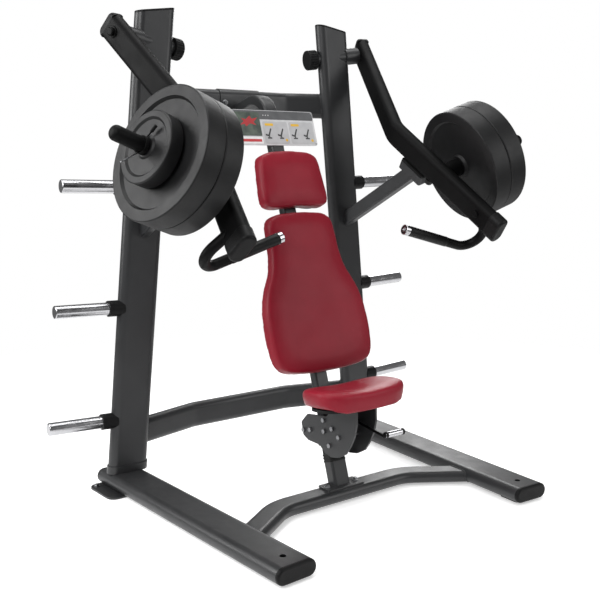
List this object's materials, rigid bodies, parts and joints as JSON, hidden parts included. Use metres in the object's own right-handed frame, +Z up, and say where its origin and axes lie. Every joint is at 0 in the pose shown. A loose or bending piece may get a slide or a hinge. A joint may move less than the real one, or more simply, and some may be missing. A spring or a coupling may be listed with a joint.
{
  "type": "chest press machine",
  "caption": "Plate-loaded incline chest press with separate left and right press arms, padded adjustable seat, back and head pads, weight plates and storage pegs.",
  "frame": {"origin": "on the floor, in the middle of the machine's overall width and depth", "axes": "+X to the machine's right side, +Y to the rear, +Z up; the user faces -Y"},
  "size_m": [1.8414, 1.2007, 1.8508],
  "materials": {
    "frame_paint": "satin charcoal powder coat",
    "black_paint": "satin black powder coat",
    "black_plastic": "moulded black",
    "black_rubber": "matt black",
    "grip_rubber": "ribbed black grip",
    "plate_rubber": "rubber coated weight plate",
    "pad_cover": "dark red vinyl, semi-matt",
    "board": "black backing board",
    "placard_panel": "plain panels without text",
    "chrome": "polished",
    "zinc": "zinc plated",
    "steel": "ground steel"
  },
  "bodies": {
    "frame": {"base_rail_left": "frame_paint", "base_rail_right": "frame_paint", "rail_caps": "black_plastic", "front_feet": "black_rubber", "rear_foot_plates": "frame_paint", "column_left": "frame_paint", "column_right": "frame_paint", "column_caps": "black_plastic", "column_sockets": "frame_paint", "upper_crossbeam": "frame_paint", "lower_crossbeam": "frame_paint", "beam_sleeve": "frame_paint", "front_cross_tube": "frame_paint", "spine": "frame_paint", "slide_buffer": "black_rubber", "frame_bolts": "zinc", "storage_pegs": "chrome", "peg_collars": "black_plastic", "pivot_bearings": "steel", "bearing_covers": "black_plastic", "arm_stops": "frame_paint", "stop_pads": "black_rubber", "placard": "placard_panel", "head_board": "board", "head_pad": "pad_cover", "back_board": "board", "back_pad": "pad_cover", "gas_spring_tube": "black_paint"},
    "arm_left": {"press_arm_left": "black_paint", "arm_caps_left": "black_plastic", "pivot_shaft_left": "steel", "arm_bolts_left": "black_paint", "arm_bumper_left": "black_rubber", "plate_horn_left": "black_paint", "large_plates_left": "plate_rubber", "small_plate_left": "plate_rubber", "spring_clip_left": "chrome", "handle_bar_left": "black_paint", "handle_grip_left": "grip_rubber", "handle_end_cap_left": "chrome"},
    "arm_right": {"press_arm_right": "black_paint", "arm_caps_right": "black_plastic", "pivot_shaft_right": "steel", "arm_bolts_right": "black_paint", "arm_bumper_right": "black_rubber", "plate_horn_right": "black_paint", "large_plates_right": "plate_rubber", "small_plate_right": "plate_rubber", "spring_clip_right": "chrome", "handle_bar_right": "black_paint", "handle_grip_right": "grip_rubber", "handle_end_cap_right": "chrome"},
    "seat_carriage": {"carriage_sleeve": "frame_paint", "seat_bracket": "frame_paint", "carriage_bolts": "zinc", "seat_board": "board", "seat_pad": "pad_cover", "gas_spring_rod": "chrome"},
    "seat_lever_body": {"seat_lever": "black_paint", "lever_grip": "chrome"}
  },
  "joints": [
    {"name": "arm_right_pivot", "type": "hinge", "parent": "frame", "child": "arm_right", "pos_m": [0.59, 0.45536, 1.738], "axis": [-0.9771, 0.1667, -0.1318], "range_deg": [0, 50]},
    {"name": "arm_left_pivot", "type": "hinge", "parent": "frame", "child": "arm_left", "pos_m": [-0.59, 0.45536, 1.738], "axis": [-0.9771, -0.1667, 0.1318], "range_deg": [0, 50]},
    {"name": "seat_slide", "type": "slide", "parent": "frame", "child": "seat_carriage", "axis": [0, 0.309, 0.9511], "range_m": [0, 0.12]},
    {"name": "seat_lever_pivot", "type": "hinge", "parent": "seat_carriage", "child": "seat_lever_body", "pos_m": [0.03, -0.18264, 0.312], "axis": [-1, 0, 0], "range_deg": [0, 20], "stiffness_Nm_per_rad": 0.5}
  ]
}
